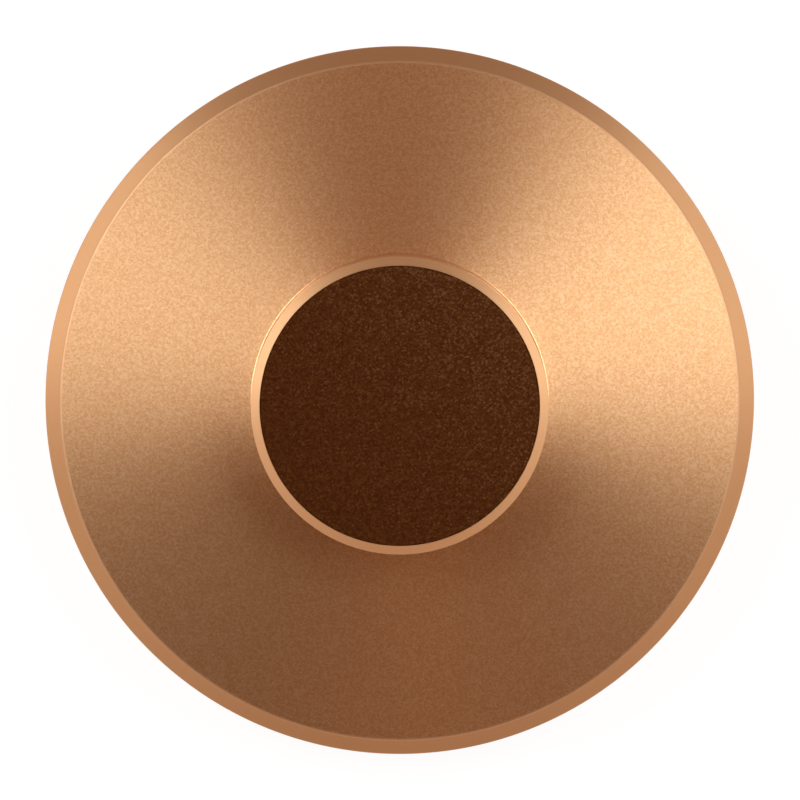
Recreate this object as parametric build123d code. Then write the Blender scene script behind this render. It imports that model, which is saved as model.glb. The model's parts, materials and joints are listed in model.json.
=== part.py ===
"""Record weight: a turned aluminium puck that sits over a turntable's spindle.

The puck has a straight side, a cut bevel, a wide shallow cone and a raised round knob to lift it
by. A thin suede disc lies in a recess in the knob's top. A blind hole in the base takes the spindle.

Frame: millimetres, +Z up, origin at the middle of the base.
"""
from build123d import *
from math import radians, tan
import os

# Puck, from the base upwards
body_radius = 40.0
base_chamfer = 0.8
side_height = 13.1
bevel_width = 1.75
bevel_height = 1.75
cone_rise = 2.15

# Knob on top of the cone
knob_radius = 16.6
knob_wall_height = 10.3
rim_width = 1.0
rim_height = 0.7
lip_width = 0.05

# Broken edges of the puck and the knob
side_edge_round = 0.2
bevel_edge_round = 0.45
knob_foot_round = 0.2
knob_edge_round = 0.15

# Suede disc in the knob's top
inlay_thickness = 1.0
inlay_drop = 0.05
inlay_clearance = 0.1
inlay_edge_round = 0.2

# Blind hole for the spindle, drilled from the base
spindle_radius = 3.6
spindle_clearance = 0.1
bore_mouth_chamfer = 0.6
bore_roof = 7.0
drill_point_angle = 118.0

# Heights that follow from the sizes above
cone_edge_z = side_height + bevel_height
knob_foot_z = cone_edge_z + cone_rise
knob_edge_z = knob_foot_z + knob_wall_height
top_z = knob_edge_z + rim_height
recess_floor_z = top_z - inlay_drop - inlay_thickness

# Radii that follow from the sizes above
cone_edge_radius = body_radius - bevel_width
rim_inner_radius = knob_radius - rim_width
recess_radius = rim_inner_radius - lip_width
bore_radius = spindle_radius + spindle_clearance

# The drill leaves a cone at the end of the hole, and the roof is measured from its tip
bore_tip_z = recess_floor_z - bore_roof
bore_wall_top_z = bore_tip_z - bore_radius / tan(radians(drill_point_angle / 2))


def weight_body():
    """Half section of the puck, turned round the Z axis. Each corner is (radius, height, round)."""
    corners = [
        (bore_radius + bore_mouth_chamfer, 0, 0),
        (body_radius - base_chamfer, 0, 0),
        (body_radius, base_chamfer, 0),
        (body_radius, side_height, side_edge_round),
        (cone_edge_radius, cone_edge_z, bevel_edge_round),
        (knob_radius, knob_foot_z, knob_foot_round),
        (knob_radius, knob_edge_z, knob_edge_round),
        (rim_inner_radius, top_z, 0),
        (recess_radius, top_z, 0),
        (recess_radius, recess_floor_z, 0),
        (0, recess_floor_z, 0),
        (0, bore_tip_z, 0),
        (bore_radius, bore_wall_top_z, 0),
        (bore_radius, bore_mouth_chamfer, 0),
    ]
    points = [(radius, height) for radius, height, _ in corners]
    rounds = [corner_round for _, _, corner_round in corners]
    section = make_face(FilletPolyline(*points, radius=rounds, close=True))
    return revolve(Plane.XZ * section, axis=Axis.Z)


def top_inlay():
    """Flat suede disc on the floor of the recess, with its upper edge rounded."""
    disc_radius = recess_radius - inlay_clearance
    disc = extrude(Circle(disc_radius), amount=inlay_thickness)
    disc = fillet(disc.faces().sort_by(Axis.Z)[-1].edges(), radius=inlay_edge_round)
    return Pos(0, 0, recess_floor_z) * disc


os.makedirs("parts", exist_ok=True)
export_step(weight_body(), "parts/weight_body.step")
export_step(top_inlay(), "parts/top_inlay.step")
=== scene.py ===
"""Record weight: the looks of a copper-coloured turned puck with a suede disc let into its knob.

Lengths are in metres, in the part's own frame: +Z up along the axis, origin at the middle of the base.
"""
import json
from math import cos, pi, radians, sin, tan

import bpy
import numpy as np
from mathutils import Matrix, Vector


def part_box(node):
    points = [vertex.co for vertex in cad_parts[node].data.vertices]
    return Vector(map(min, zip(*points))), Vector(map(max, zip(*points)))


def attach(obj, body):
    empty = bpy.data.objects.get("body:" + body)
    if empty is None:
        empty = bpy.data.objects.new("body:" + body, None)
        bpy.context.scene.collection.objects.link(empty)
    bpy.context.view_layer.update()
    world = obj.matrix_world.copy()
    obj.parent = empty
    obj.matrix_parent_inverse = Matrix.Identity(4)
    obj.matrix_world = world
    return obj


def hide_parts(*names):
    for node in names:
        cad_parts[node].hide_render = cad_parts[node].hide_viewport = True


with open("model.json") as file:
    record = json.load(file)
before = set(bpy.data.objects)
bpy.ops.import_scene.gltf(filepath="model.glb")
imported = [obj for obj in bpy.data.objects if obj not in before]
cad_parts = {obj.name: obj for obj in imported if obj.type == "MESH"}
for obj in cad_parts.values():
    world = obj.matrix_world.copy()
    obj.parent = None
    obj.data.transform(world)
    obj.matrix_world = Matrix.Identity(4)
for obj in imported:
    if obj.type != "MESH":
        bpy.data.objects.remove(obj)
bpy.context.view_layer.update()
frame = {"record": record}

MM = 0.001

# Sizes read from the frame
body_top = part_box("weight_body")[1]
body_radius = body_top.x
top_z = body_top.z
inlay_low, inlay_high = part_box("top_inlay")
inlay_top_z = inlay_high.z
recess_floor_z = inlay_low.z
spindle_bore = next(mount for mount in frame["record"]["mounts"] if mount["name"] == "spindle_bore")
bore_radius = spindle_bore["dims"]["r_mm"] * MM
bore_wall_length = spindle_bore["dims"]["length_mm"] * MM

# Puck, from the base upwards
base_chamfer = 0.8 * MM
bevel_width = 1.75 * MM
bevel_height = 1.75 * MM
cone_rise = 2.15 * MM

# Knob on top of the cone
knob_radius = 16.6 * MM
knob_wall_height = 10.3 * MM
rim_width = 1.0 * MM
rim_height = 0.7 * MM
lip_width = 0.01 * MM

# Broken edges of the puck and the knob
side_edge_round = 0.2 * MM
bevel_edge_round = 0.45 * MM
knob_foot_round = 0.2 * MM
knob_edge_round = 0.06 * MM
lip_edge_round = 0.004 * MM

# Blind hole for the spindle
bore_mouth_chamfer = 0.6 * MM
drill_point_angle = radians(118)

# Suede disc in the knob's top
inlay_edge_round = 0.08 * MM
inlay_clearance = 0.01 * MM

# Heights and radii that follow from the sizes above
knob_edge_z = top_z - rim_height
knob_foot_z = knob_edge_z - knob_wall_height
cone_edge_z = knob_foot_z - cone_rise
side_top_z = cone_edge_z - bevel_height
cone_edge_radius = body_radius - bevel_width
rim_inner_radius = knob_radius - rim_width
recess_radius = rim_inner_radius - lip_width
inlay_radius = recess_radius - inlay_clearance
bore_wall_top_z = bore_mouth_chamfer + bore_wall_length
bore_tip_z = bore_wall_top_z + bore_radius / tan(drill_point_angle / 2)

# How finely the turned surface is divided
turn_segments = 512
round_steps = 8
run_steps = 6
edge_support = 0.015 * MM

# Specks: small cells for each grain of noise, and the share of the cells in a speck
cells_per_grain = 1.13
cell_share = 0.5

# Grain of the metal: grains per metre, the specks that are darkest and lightest, and how much a fleck
# changes each channel of the colour; the paler light flecks are random tone and painted glints
grain_scale = 4900.0
darkest_speck = 0.28
lightest_speck = 0.95
glint_fleck_tint = (0.54, 1.24, 1.84)

# Turning marks: how quickly they change round the axis, and how far they change the roughness
marks_round_axis = 5.0
roughness_swing = 0.01

# Finishes of the metal: colour, spread of the highlight, strength of the flecks, the share of the flecks
# that follows the turning marks, and the depth of the grain and the depth and pitch of the marks
finishes = {
    "satin": dict(
        colour=(0.82, 0.465, 0.225), roughness=0.28, anisotropy=0.58, fleck=0.265, mark_share=0.0,
        grain_depth=0.005 * MM, mark_depth=0.001 * MM, mark_pitch=0.3 * MM),
    "bevel": dict(
        colour=(0.725, 0.375, 0.172), roughness=0.438, anisotropy=0.96, fleck=0.04, mark_share=0.5,
        grain_depth=0.0003 * MM, mark_depth=0.0006 * MM, mark_pitch=0.2 * MM),
    # Rim: its colour is lighter than the satin's, painted light standing in for light that the rim reflects
    "rim": dict(
        colour=(0.865, 0.481, 0.232), roughness=0.466, anisotropy=0.795, fleck=0.04, mark_share=0.5,
        grain_depth=0.0003 * MM, mark_depth=0.0006 * MM, mark_pitch=0.2 * MM),
    "edge": dict(
        colour=(0.66, 0.362, 0.184), roughness=0.45, anisotropy=0.6, fleck=0.04, mark_share=0.5,
        grain_depth=0.0003 * MM, mark_depth=0.0003 * MM, mark_pitch=0.2 * MM),
    "tooled": dict(
        colour=(0.725, 0.375, 0.172), roughness=0.4, anisotropy=0.8, fleck=0.3, mark_share=1.0,
        grain_depth=0.0003 * MM, mark_depth=0.003 * MM, mark_pitch=0.4 * MM),
}

# Nap of the suede: mesh cells across the disc, the height and widths of its waves, and how many heights its
# mean lies under the disc's top
nap_cells = 300
nap_height = 0.022 * MM
nap_widths = (0.26 * MM, 0.7 * MM)
nap_waves = 90
nap_seed = 7
nap_sink = 3

# Fibres of the suede: fibres per metre, their depth, the painted sheen's gain in tone per metre across the
# disc, and the tone and colour of the roots, of most of the fibre and of the tips
fibre_scale = 4300.0
fibre_depth = 0.02 * MM
painted_sheen_gradient = (4.6, 4.4, 0.0)
root_tone = 0.25
root_colour = (0.046, 0.0098, 0.0004, 1.0)
fibre_tone = 0.64
fibre_colour = (0.078, 0.0218, 0.0025, 1.0)
tip_tone = 0.9
tip_colour = (0.138, 0.057, 0.024, 1.0)

# The photograph's view: nearly straight down, with the camera leaning towards +Y
view_tilt = radians(2.25)
view_distance = 1.0
view_width = 90.32 * MM
view_offset_x = 0.03 * MM
view_offset_y = 0.07 * MM
sensor_width = 36.0

# Studio floor: half its side, and how far it lies under the base
floor_half = 5.0
floor_drop = 0.05 * MM

# Softboxes
softbox_distance = 3.0
softbox_width = 1.76
softbox_height = 1.7
softbox_colour = (0.97, 1.07, 1.16)

# Room: the heights between which the pale walls fade into the dim ceiling, the depths between which the
# front fades into the back, and the line and limits of the ceiling's dark front corners
wall_top = radians(27)
ceiling_start = radians(41)
back_start = -0.45
back_end = 0.6
corner_middle = 0.036
corner_start = -0.0155
corner_end = -0.0636
front_wall_colour = (0.82, 0.56, 0.445, 1.0)
side_wall_colour = (1.2, 0.94, 0.85, 1.0)
back_wall_colour = (0.262, 0.138, 0.104, 1.0)
front_ceiling_colour = (0.268, 0.156, 0.111, 1.0)
corner_ceiling_colour = (0.02, 0.008, 0.004, 1.0)
back_ceiling_colour = (0.252, 0.146, 0.105, 1.0)


def node(tree, kind, inputs=None, **settings):
    """Adds a shader node. Each input is a plain value, or the output socket that feeds it."""
    made = tree.nodes.new("ShaderNode" + kind)
    for name, value in settings.items():
        setattr(made, name, value)
    for key, value in (inputs or {}).items():
        if isinstance(value, bpy.types.NodeSocket):
            tree.links.new(value, made.inputs[key])
        else:
            made.inputs[key].default_value = value
    return made


def blend(tree, factor, first, second):
    """Goes from the first colour to the second as the factor goes from 0 to 1.

    The colour sockets of a Mix node are its inputs 6 and 7 and its output 2.
    """
    return node(tree, "Mix", {"Factor": factor, 6: first, 7: second}, data_type="RGBA").outputs[2]


def speckle(tree, place, scale):
    """Fine grain in the part's own space, and specks that mix that grain with random small cells."""
    grain = node(tree, "TexNoise", {"Vector": place, "Scale": scale, "Detail": 2.0}).outputs["Fac"]
    cells = node(tree, "TexVoronoi", {"Vector": place, "Scale": cells_per_grain * scale}).outputs["Color"]
    chance = node(tree, "SeparateColor", {0: cells}).outputs["Red"]
    specks = node(tree, "Mix", {"Factor": cell_share, "A": grain, "B": chance}).outputs[0]
    return grain, specks


def new_material(name):
    """A material with no nodes yet, and its node tree."""
    material = bpy.data.materials.new(name)
    material.use_nodes = True
    material.node_tree.nodes.clear()
    return material, material.node_tree


def anodised_copper(name, colour, roughness, anisotropy, fleck, mark_share,
                    grain_depth, mark_depth, mark_pitch):
    """Copper-coloured anodised aluminium: a fine blasted grain over concentric turning marks.

    The marks are a noise that changes quickly along the turned section and slowly round the axis. Light
    flecks are paler than the colour, as random tone and painted glints of the grain, and dark ones deeper.
    A mark_share of them follows the marks, the rest the specks of the grain. The highlight spreads along
    the section, across the marks.
    """
    material, tree = new_material(name)
    place = node(tree, "TexCoord").outputs["Object"]
    section = node(tree, "UVMap", uv_map="turning").outputs["UV"]
    along = node(tree, "SeparateXYZ", {0: section}).outputs["X"]
    flat = node(tree, "VectorMath", {0: place, 1: (1.0, 1.0, 0.0)}, operation="MULTIPLY").outputs[0]
    heading = node(tree, "VectorMath", {0: flat}, operation="NORMALIZE").outputs[0]
    round_axis = node(tree, "VectorMath", {0: heading, "Scale": marks_round_axis}, operation="SCALE")
    fast_section = node(tree, "Math", {0: along, 1: 1.0 / mark_pitch}, operation="MULTIPLY").outputs[0]
    lift = node(tree, "CombineXYZ", {"Z": fast_section}).outputs[0]
    mark_place = node(tree, "VectorMath", {0: round_axis.outputs[0], 1: lift}, operation="ADD").outputs[0]
    marks = node(tree, "TexNoise", {"Vector": mark_place, "Scale": 1.0, "Detail": 2.0}).outputs["Fac"]
    grain, specks = speckle(tree, place, grain_scale)

    light_specks = node(tree, "MapRange", {
        "Value": specks, "From Min": darkest_speck, "From Max": lightest_speck}).outputs[0]
    pattern = node(tree, "Mix", {"Factor": mark_share, "A": light_specks, "B": marks}).outputs[0]
    # Light flecks paler than the colour: random tone of the grain and painted glints
    change = fleck * np.array(glint_fleck_tint)
    darker = (*(colour * (1 - change / 2)), 1)
    lighter = (*(colour * (1 + change)), 1)
    tone = blend(tree, pattern, darker, lighter)
    rough = node(tree, "MapRange", {
        "Value": marks,
        "To Min": roughness - roughness_swing,
        "To Max": roughness + roughness_swing}).outputs[0]
    turned = node(tree, "Bump", {"Strength": 1.0, "Distance": mark_depth, "Height": marks}).outputs[0]
    blasted = node(tree, "Bump", {
        "Strength": 1.0, "Distance": grain_depth, "Height": grain, "Normal": turned}).outputs[0]
    tangent = node(tree, "Tangent", direction_type="UV_MAP", uv_map="turning").outputs[0]
    metal = node(tree, "BsdfPrincipled", {
        "Base Color": tone, "Metallic": 1.0, "Roughness": rough, "Anisotropic": anisotropy,
        "Tangent": tangent, "Normal": blasted}, distribution="GGX")
    node(tree, "OutputMaterial", {"Surface": metal.outputs[0]})
    return material


def brown_suede():
    """Dark brown suede: short fibres, paler where their tips show, and a painted sheen across the disc.

    The tone follows the specks, plus a painted sheen: a part that grows evenly across the disc.
    """
    material, tree = new_material("brown_suede")
    place = node(tree, "TexCoord").outputs["Object"]
    fibre, tips = speckle(tree, place, fibre_scale)
    # Painted sheen: the tone grows evenly across the disc, lighter towards +X and +Y
    painted_sheen = node(tree, "VectorMath", {0: place, 1: painted_sheen_gradient}, operation="DOT_PRODUCT").outputs["Value"]
    shade = node(tree, "Math", {0: tips, 1: painted_sheen}, operation="ADD").outputs[0]
    tone = node(tree, "ValToRGB", {"Fac": shade})
    root, tip = tone.color_ramp.elements
    root.position = root_tone
    root.color = root_colour
    tip.position = tip_tone
    tip.color = tip_colour
    tone.color_ramp.elements.new(fibre_tone).color = fibre_colour
    nap = node(tree, "Bump", {"Strength": 1.0, "Distance": fibre_depth, "Height": fibre}).outputs[0]
    cloth = node(tree, "BsdfPrincipled", {
        "Base Color": tone.outputs["Color"], "Roughness": 0.95, "Specular IOR Level": 0.1, "Normal": nap,
        "Sheen Weight": 0.05, "Sheen Roughness": 0.4, "Sheen Tint": (1.0, 0.6, 0.35, 1)})
    node(tree, "OutputMaterial", {"Surface": cloth.outputs[0]})
    return material


def white_floor():
    """Plain white floor that keeps a faint shadow.

    It is diffuse for the light it gives back, white where it is seen, and clear from below.
    """
    material, tree = new_material("white_floor")
    ray = node(tree, "LightPath").outputs
    seen = node(tree, "Math", {0: ray["Is Camera Ray"], 1: ray["Is Glossy Ray"]}, operation="MAXIMUM")
    seen = node(tree, "Math", {0: seen.outputs[0], 1: ray["Is Transmission Ray"]}, operation="MAXIMUM")
    paper = node(tree, "BsdfDiffuse", {"Color": (0.8, 0.8, 0.8, 1)}).outputs[0]
    shade = node(tree, "BsdfDiffuse", {"Color": (0.15, 0.15, 0.15, 1)}).outputs[0]
    glow = node(tree, "Emission", {"Color": (1, 1, 1, 1), "Strength": 0.9}).outputs[0]
    bright = node(tree, "AddShader", {0: shade, 1: glow}).outputs[0]
    above = node(tree, "MixShader", {0: seen.outputs[0], 1: paper, 2: bright}).outputs[0]
    clear = node(tree, "BsdfTransparent").outputs[0]
    below = node(tree, "NewGeometry").outputs["Backfacing"]
    floor = node(tree, "MixShader", {0: below, 1: above, 2: clear}).outputs[0]
    node(tree, "OutputMaterial", {"Surface": floor})
    return material


def corner_arc(before, corner, after, edge_round):
    """Arc tangent to the two runs that meet at a corner: its centre lies one round inside both runs."""
    run_in = (corner - before) / np.linalg.norm(corner - before)
    run_out = (after - corner) / np.linalg.norm(after - corner)
    side = np.sign(run_in[0] * run_out[1] - run_in[1] * run_out[0])
    turn = np.arccos(np.clip(run_in @ run_out, -1, 1))
    start = corner - run_in * edge_round * np.tan(turn / 2)
    inward = side * np.array((-run_in[1], run_in[0]))
    centre = start + inward * edge_round
    angles = np.linspace(0, turn, round_steps + 1)[:, None]
    return centre + edge_round * (np.sin(angles) * run_in - np.cos(angles) * inward)


def turned_section(corners):
    """Half section through corners of (radius, height, round, finish of the run, finish of the round).

    The run is the straight one that ends at the corner. Straight runs have a row close to each end, so that
    the shading of an edge doesn't reach into them. Returns the section's points and the finish of each
    stretch between two points.
    """
    points = np.array([corner[:2] for corner in corners])
    section = [points[:1]]
    stretches = []
    for i in range(1, len(corners)):
        edge_round, run_finish, round_finish = corners[i][2:]
        if edge_round:
            edge = corner_arc(points[i - 1], points[i], points[i + 1], edge_round)
        else:
            edge = points[i:i + 1]
        start = section[-1][-1]
        run = edge[0] - start
        support = edge_support / np.linalg.norm(run)
        shares = np.linspace(support, 1 - support, run_steps)[:, None]
        section += [start + shares * run, edge]
        stretches += [run_finish] * (run_steps + 1) + [round_finish] * (len(edge) - 1)
    return np.concatenate(section), stretches


def turned_mesh(name, section):
    """Section turned round Z: point (u, v) is (r(u) cos 2 pi v, r(u) sin 2 pi v, z(u)).

    The section starts and ends on the axis, so a fan of triangles closes each end. The map "turning" holds
    u as the length along the section, and v.
    """
    radius, height = section.T
    rows = len(section) - 2
    angles = np.linspace(0, 2 * pi, turn_segments, endpoint=False)
    rings = np.empty((rows, turn_segments, 3))
    rings[..., 0] = radius[1:-1, None] * np.cos(angles)
    rings[..., 1] = radius[1:-1, None] * np.sin(angles)
    rings[..., 2] = height[1:-1, None]
    first_pole = (0, 0, height[0])
    last_pole = (0, 0, height[-1])
    points = np.concatenate([rings.reshape(-1, 3), [first_pole, last_pole]])

    here = np.arange(rows * turn_segments).reshape(rows, turn_segments)
    after = np.roll(here, -1, axis=1)
    quads = np.stack([here[:-1], after[:-1], after[1:], here[1:]], axis=-1)
    first_fan = np.stack([np.full(turn_segments, len(points) - 2), after[0], here[0]], axis=-1)
    last_fan = np.stack([np.full(turn_segments, len(points) - 1), here[-1], after[-1]], axis=-1)
    faces = first_fan.tolist() + quads.reshape(-1, 4).tolist() + last_fan.tolist()
    mesh = bpy.data.meshes.new(name)
    mesh.from_pydata(points.tolist(), [], faces)

    length = np.concatenate([[0], np.cumsum(np.linalg.norm(np.diff(section, axis=0), axis=1))])
    u = np.repeat(length[:, None], turn_segments, axis=1)
    v = np.broadcast_to(np.arange(turn_segments) / turn_segments, u.shape)
    next_v = v + 1 / turn_segments
    middle_v = (v + next_v) / 2
    row = slice(1, -2)
    next_row = slice(2, -1)
    quad_map = np.stack([
        u[row], v[row], u[row], next_v[row],
        u[next_row], next_v[next_row], u[next_row], v[next_row]], axis=-1)
    first_map = np.stack([u[0], middle_v[0], u[1], next_v[1], u[1], v[1]], axis=-1)
    last_map = np.stack([u[-1], middle_v[-1], u[-2], v[-2], u[-2], next_v[-2]], axis=-1)
    turning = mesh.uv_layers.new(name="turning")
    turning.data.foreach_set("uv", np.concatenate([first_map.ravel(), quad_map.ravel(), last_map.ravel()]))
    mesh.polygons.foreach_set("use_smooth", np.ones(len(faces), dtype=bool))
    return mesh


def turned_puck():
    """The puck and its knob in one turned surface, from the tip of the hole round to the recess floor."""
    corners = [
        (0, bore_tip_z, 0, None, None),
        (bore_radius, bore_wall_top_z, 0, "tooled", None),
        (bore_radius, bore_mouth_chamfer, 0, "tooled", None),
        (bore_radius + bore_mouth_chamfer, 0, 0, "bevel", None),
        (body_radius - base_chamfer, 0, 0, "tooled", None),
        (body_radius, base_chamfer, 0, "bevel", None),
        (body_radius, side_top_z, side_edge_round, "satin", "edge"),
        (cone_edge_radius, cone_edge_z, bevel_edge_round, "bevel", "edge"),
        (knob_radius, knob_foot_z, knob_foot_round, "satin", "satin"),
        (knob_radius, knob_edge_z, knob_edge_round, "satin", "edge"),
        (rim_inner_radius, top_z, lip_edge_round, "rim", "edge"),
        (recess_radius, top_z, lip_edge_round, "rim", "edge"),
        (recess_radius, recess_floor_z, 0, "tooled", None),
        (0, recess_floor_z, 0, "tooled", None),
    ]
    section, stretches = turned_section(corners)
    mesh = turned_mesh("turned_puck", section)
    for finish, values in finishes.items():
        mesh.materials.append(anodised_copper(finish + "_copper", **values))
    order = list(finishes)
    indices = np.repeat([order.index(finish) for finish in stretches], turn_segments)
    mesh.polygons.foreach_set("material_index", indices.astype(np.int32))
    mesh.update()
    puck = bpy.data.objects.new("turned_puck", mesh)
    bpy.context.collection.objects.link(puck)
    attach(puck, "root")
    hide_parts("weight_body")


def nap_relief(x, y):
    """Relief of the nap: small waves of random direction, width and phase, added up to a spread of 1."""
    random = np.random.default_rng(nap_seed)
    heading = random.uniform(0, 2 * pi, nap_waves)
    number = 2 * pi / random.uniform(*nap_widths, nap_waves)
    phase = random.uniform(0, 2 * pi, nap_waves)
    waves = np.cos(np.multiply.outer(x, number * np.cos(heading))
                   + np.multiply.outer(y, number * np.sin(heading)) + phase)
    return waves.sum(axis=-1) / np.sqrt(nap_waves / 2)


def suede_disc():
    """Napped disc: a square grid drawn out to a circle, raised by the nap and rounded down at its edge.

    Point (a, b) of the square goes to (a sqrt(1 - b^2 / 2), b sqrt(1 - a^2 / 2)) times the radius. A skirt
    joins the grid's edge to a flat back on the recess floor.
    """
    side = np.linspace(-1, 1, nap_cells + 1)
    a, b = np.meshgrid(side, side)
    x = inlay_radius * a * np.sqrt(1 - b ** 2 / 2)
    y = inlay_radius * b * np.sqrt(1 - a ** 2 / 2)
    to_edge = np.clip((inlay_radius - np.hypot(x, y)) / inlay_edge_round, 0, 1)
    fall = inlay_edge_round * (1 - np.sqrt(1 - (1 - to_edge) ** 2))
    z = inlay_top_z - fall + nap_height * (nap_relief(x, y) - nap_sink) * to_edge
    top = np.stack([x, y, z], axis=-1).reshape(-1, 3)

    n = nap_cells + 1
    here = np.arange(n * n).reshape(n, n)
    cells = np.stack([here[:-1, :-1], here[:-1, 1:], here[1:, 1:], here[1:, :-1]], axis=-1).reshape(-1, 4)
    edge = np.concatenate([here[0, :-1], here[:-1, -1], here[-1, :0:-1], here[:0:-1, 0]])
    foot = top[edge] * (1, 1, 0) + (0, 0, recess_floor_z)
    foot_here = n * n + np.arange(len(edge))
    foot_after = np.roll(foot_here, -1)
    skirt = np.stack([foot_here, foot_after, np.roll(edge, -1), edge], axis=-1)
    middle = np.full(len(edge), n * n + len(edge))
    back = np.stack([middle, foot_after, foot_here], axis=-1)
    points = np.concatenate([top, foot, [(0, 0, recess_floor_z)]])
    mesh = bpy.data.meshes.new("suede_disc")
    mesh.from_pydata(points.tolist(), [], cells.tolist() + skirt.tolist() + back.tolist())
    mesh.polygons.foreach_set("use_smooth", np.arange(len(mesh.polygons)) < len(cells))
    mesh.materials.append(brown_suede())
    mesh.update()
    disc = bpy.data.objects.new("suede_disc", mesh)
    bpy.context.collection.objects.link(disc)
    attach(disc, "root")
    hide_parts("top_inlay")


def studio_floor():
    """Flat square floor just under the base."""
    mesh = bpy.data.meshes.new("studio_floor")
    corners = [
        (-floor_half, -floor_half, -floor_drop),
        (floor_half, -floor_half, -floor_drop),
        (floor_half, floor_half, -floor_drop),
        (-floor_half, floor_half, -floor_drop),
    ]
    mesh.from_pydata(corners, [], [(0, 1, 2, 3)])
    mesh.materials.append(white_floor())
    floor = bpy.data.objects.new("studio_floor", mesh)
    bpy.context.collection.objects.link(floor)


def softbox(name, azimuth, zenith, brightness):
    """Rectangular lamp facing the puck from a direction. Its power is brightness times pi times area."""
    lamp = bpy.data.lights.new(name, "AREA")
    lamp.shape = "RECTANGLE"
    lamp.size = softbox_width
    lamp.size_y = softbox_height
    lamp.energy = brightness * pi * softbox_width * softbox_height
    lamp.color = softbox_colour
    box = bpy.data.objects.new(name, lamp)
    bpy.context.collection.objects.link(box)
    away = Vector((sin(zenith) * cos(azimuth), sin(zenith) * sin(azimuth), cos(zenith)))
    box.location = away * softbox_distance
    box.rotation_euler = away.to_track_quat("Z", "Y").to_euler()
    box.visible_camera = False


def studio_light():
    """A softbox on the left, one on the right, and a room with pale walls under a dim ceiling.

    The walls grow paler with the square of the direction's X, and the room darkens towards the back. The
    ceiling's two front corners are dark: there the distance from its middle line, times Y, is lowest.
    """
    softbox("left_softbox", azimuth=radians(156.5), zenith=radians(37.4), brightness=4.5)
    softbox("right_softbox", azimuth=radians(22), zenith=radians(34.1), brightness=4.15)
    world = bpy.data.worlds.new("studio_room")
    bpy.context.scene.world = world
    world.use_nodes = True
    tree = world.node_tree
    tree.nodes.clear()
    direction = node(tree, "TexCoord").outputs["Generated"]
    across = node(tree, "SeparateXYZ", {0: direction}).outputs
    sideways = node(tree, "Math", {0: across["X"], 1: across["X"]}, operation="MULTIPLY").outputs[0]
    back = node(tree, "MapRange", {"Value": across["Y"], "From Min": back_start, "From Max": back_end},
                interpolation_type="SMOOTHSTEP").outputs[0]
    rise = node(tree, "MapRange", {
        "Value": across["Z"], "From Min": sin(wall_top), "From Max": sin(ceiling_start)}).outputs[0]
    off_middle = node(tree, "Math", {0: across["X"], 1: corner_middle}, operation="SUBTRACT").outputs[0]
    distance = node(tree, "Math", {0: off_middle}, operation="ABSOLUTE").outputs[0]
    to_corner = node(tree, "Math", {0: distance, 1: across["Y"]}, operation="MULTIPLY").outputs[0]
    corner = node(tree, "MapRange", {"Value": to_corner, "From Min": corner_start, "From Max": corner_end},
                  interpolation_type="SMOOTHSTEP").outputs[0]
    wall = blend(tree, sideways, front_wall_colour, side_wall_colour)
    wall = blend(tree, back, wall, back_wall_colour)
    ceiling = blend(tree, back, front_ceiling_colour, back_ceiling_colour)
    ceiling = blend(tree, corner, ceiling, corner_ceiling_colour)
    colour = blend(tree, rise, wall, ceiling)
    room = node(tree, "Background", {"Color": colour, "Strength": 1.0}).outputs[0]
    node(tree, "OutputWorld", {"Surface": room})


def photo_camera():
    """Camera above the puck, leaning towards +Y, aimed at the height of the bevel's outer edge."""
    camera_data = bpy.data.cameras.new("photo_camera")
    camera_data.sensor_width = sensor_width
    camera_data.lens = sensor_width * view_distance / view_width
    camera = bpy.data.objects.new("photo_camera", camera_data)
    bpy.context.collection.objects.link(camera)
    camera.location = (view_offset_x, view_offset_y + view_distance * sin(view_tilt),
                       side_top_z + view_distance * cos(view_tilt))
    camera.rotation_euler = (-view_tilt, 0, 0)
    bpy.context.scene.camera = camera


turned_puck()
suede_disc()
studio_floor()
studio_light()
photo_camera()
bpy.context.scene.view_settings.view_transform = "Standard"
